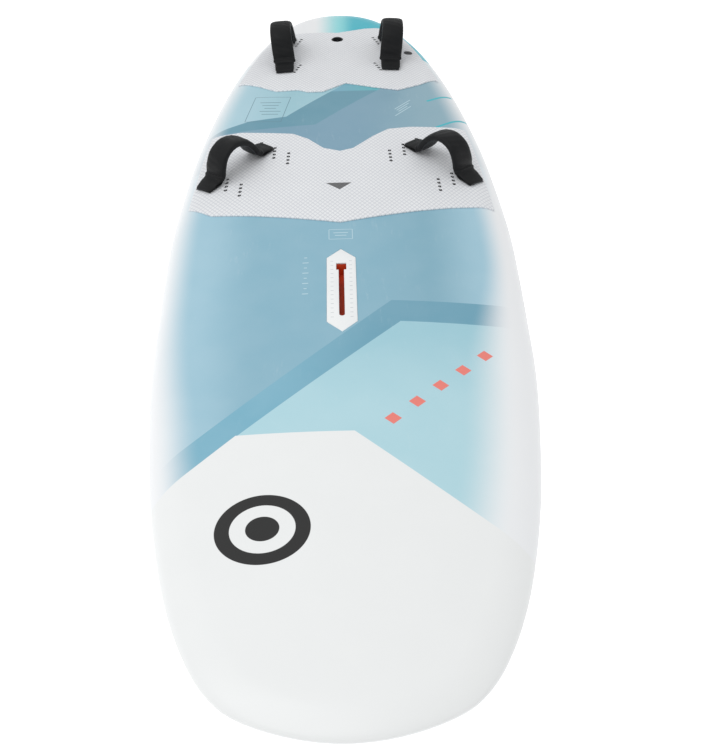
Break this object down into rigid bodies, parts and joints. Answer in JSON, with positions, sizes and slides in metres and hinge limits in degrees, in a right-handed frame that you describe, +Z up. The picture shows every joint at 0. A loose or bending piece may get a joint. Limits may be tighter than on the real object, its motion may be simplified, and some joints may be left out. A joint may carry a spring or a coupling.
{
  "type": "windsurf board",
  "caption": "Windsurf board with deck pads, padded footstraps on screw-in inserts, a slotted mast track, a bolted fin and a vent plug.",
  "frame": {"origin": "middle of the flat planing bottom, on the centre line, 1000 mm from the tail tip", "axes": "+Z up through the deck, +Y towards the tail, +X to port"},
  "size_m": [0.7236, 2.35, 0.6328],
  "materials": {
    "deck_lacquer": "satin lacquer over sandwich laminate, white rails fading to blue",
    "bottom_lacquer": "gloss white lacquer",
    "eps_foam": "expanded polystyrene beads",
    "eva_pad": "pale grey EVA with a diamond groove pattern",
    "track_plate_white": "satin white",
    "track_orange": "moulded orange-red polycarbonate",
    "black_plastic": "moulded black",
    "insert_plastic": "moulded black nylon",
    "rubber_seal": "black nitrile",
    "fin_resin": "cast black resin",
    "fin_laminate": "ground glass laminate, satin",
    "brass_nut": "turned brass",
    "stainless": "stainless steel",
    "webbing": "black woven polyester webbing",
    "strap_fabric": "black neoprene with a ribbed knit face"
  },
  "bodies": {
    "hull": {"deck_shell": "deck_lacquer", "bottom_shell": "bottom_lacquer", "foam_core": "eps_foam", "rear_deck_pad": "eva_pad", "front_deck_pad": "eva_pad", "mast_track_plate": "track_plate_white", "mast_track_box": "track_orange", "fin_box": "black_plastic", "fin_bolt_sleeve": "black_plastic", "vent_bushing": "black_plastic", "front_tail_insert_port_1": "insert_plastic", "front_tail_insert_starboard_1": "insert_plastic", "front_tail_insert_port_2": "insert_plastic", "front_tail_insert_starboard_2": "insert_plastic", "front_tail_insert_port_3": "insert_plastic", "front_tail_insert_starboard_3": "insert_plastic", "front_nose_insert_port_1": "insert_plastic", "front_nose_insert_starboard_1": "insert_plastic", "front_nose_insert_port_2": "insert_plastic", "front_nose_insert_starboard_2": "insert_plastic", "front_nose_insert_port_3": "insert_plastic", "front_nose_insert_starboard_3": "insert_plastic", "rear_tail_insert_port_1": "insert_plastic", "rear_tail_insert_starboard_1": "insert_plastic", "rear_tail_insert_port_2": "insert_plastic", "rear_tail_insert_starboard_2": "insert_plastic", "rear_nose_insert_port_1": "insert_plastic", "rear_nose_insert_starboard_1": "insert_plastic", "rear_nose_insert_port_2": "insert_plastic", "rear_nose_insert_starboard_2": "insert_plastic", "front_strap_webbing_port": "webbing", "front_strap_webbing_starboard": "webbing", "rear_strap_webbing_port": "webbing", "rear_strap_webbing_starboard": "webbing", "front_strap_cover_port": "strap_fabric", "front_strap_cover_starboard": "strap_fabric", "rear_strap_cover_port": "strap_fabric", "rear_strap_cover_starboard": "strap_fabric", "front_strap_screw_port_tail": "stainless", "front_strap_screw_port_nose": "stainless", "front_strap_screw_starboard_tail": "stainless", "front_strap_screw_starboard_nose": "stainless", "rear_strap_screw_port_tail": "stainless", "rear_strap_screw_port_nose": "stainless", "rear_strap_screw_starboard_tail": "stainless", "rear_strap_screw_starboard_nose": "stainless"},
    "fin": {"fin_base": "fin_resin", "fin_blade": "fin_laminate", "fin_barrel_nut": "brass_nut"},
    "fin_washer": {"fin_bolt_washer": "stainless"},
    "fin_screw": {"fin_bolt": "stainless"},
    "vent_plug": {"vent_screw": "black_plastic", "vent_o_ring": "rubber_seal"}
  },
  "joints": [
    {"name": "fin_release", "type": "slide", "parent": "hull", "child": "fin", "axis": [0, 0, -1], "range_m": [0, 0.07]},
    {"name": "fin_bolt_lift", "type": "slide", "parent": "hull", "child": "fin_washer", "axis": [0, 0, 1], "range_m": [0, 0.008]},
    {"name": "fin_bolt_turn", "type": "hinge", "parent": "fin_washer", "child": "fin_screw", "pos_m": [0, 0.746, 0.07], "axis": [0, 0, 1], "range_deg": [0, 2880]},
    {"name": "vent_turn", "type": "hinge", "parent": "hull", "child": "vent_plug", "pos_m": [0.185, 0.66, 0.08571], "axis": [0.12, 0.1003, 0.9877], "range_deg": [0, 1440]}
  ],
  "couplings": [
    {"joint": "fin_bolt_lift", "follows": "fin_bolt_turn", "m_per_rad": 0.000159}
  ]
}
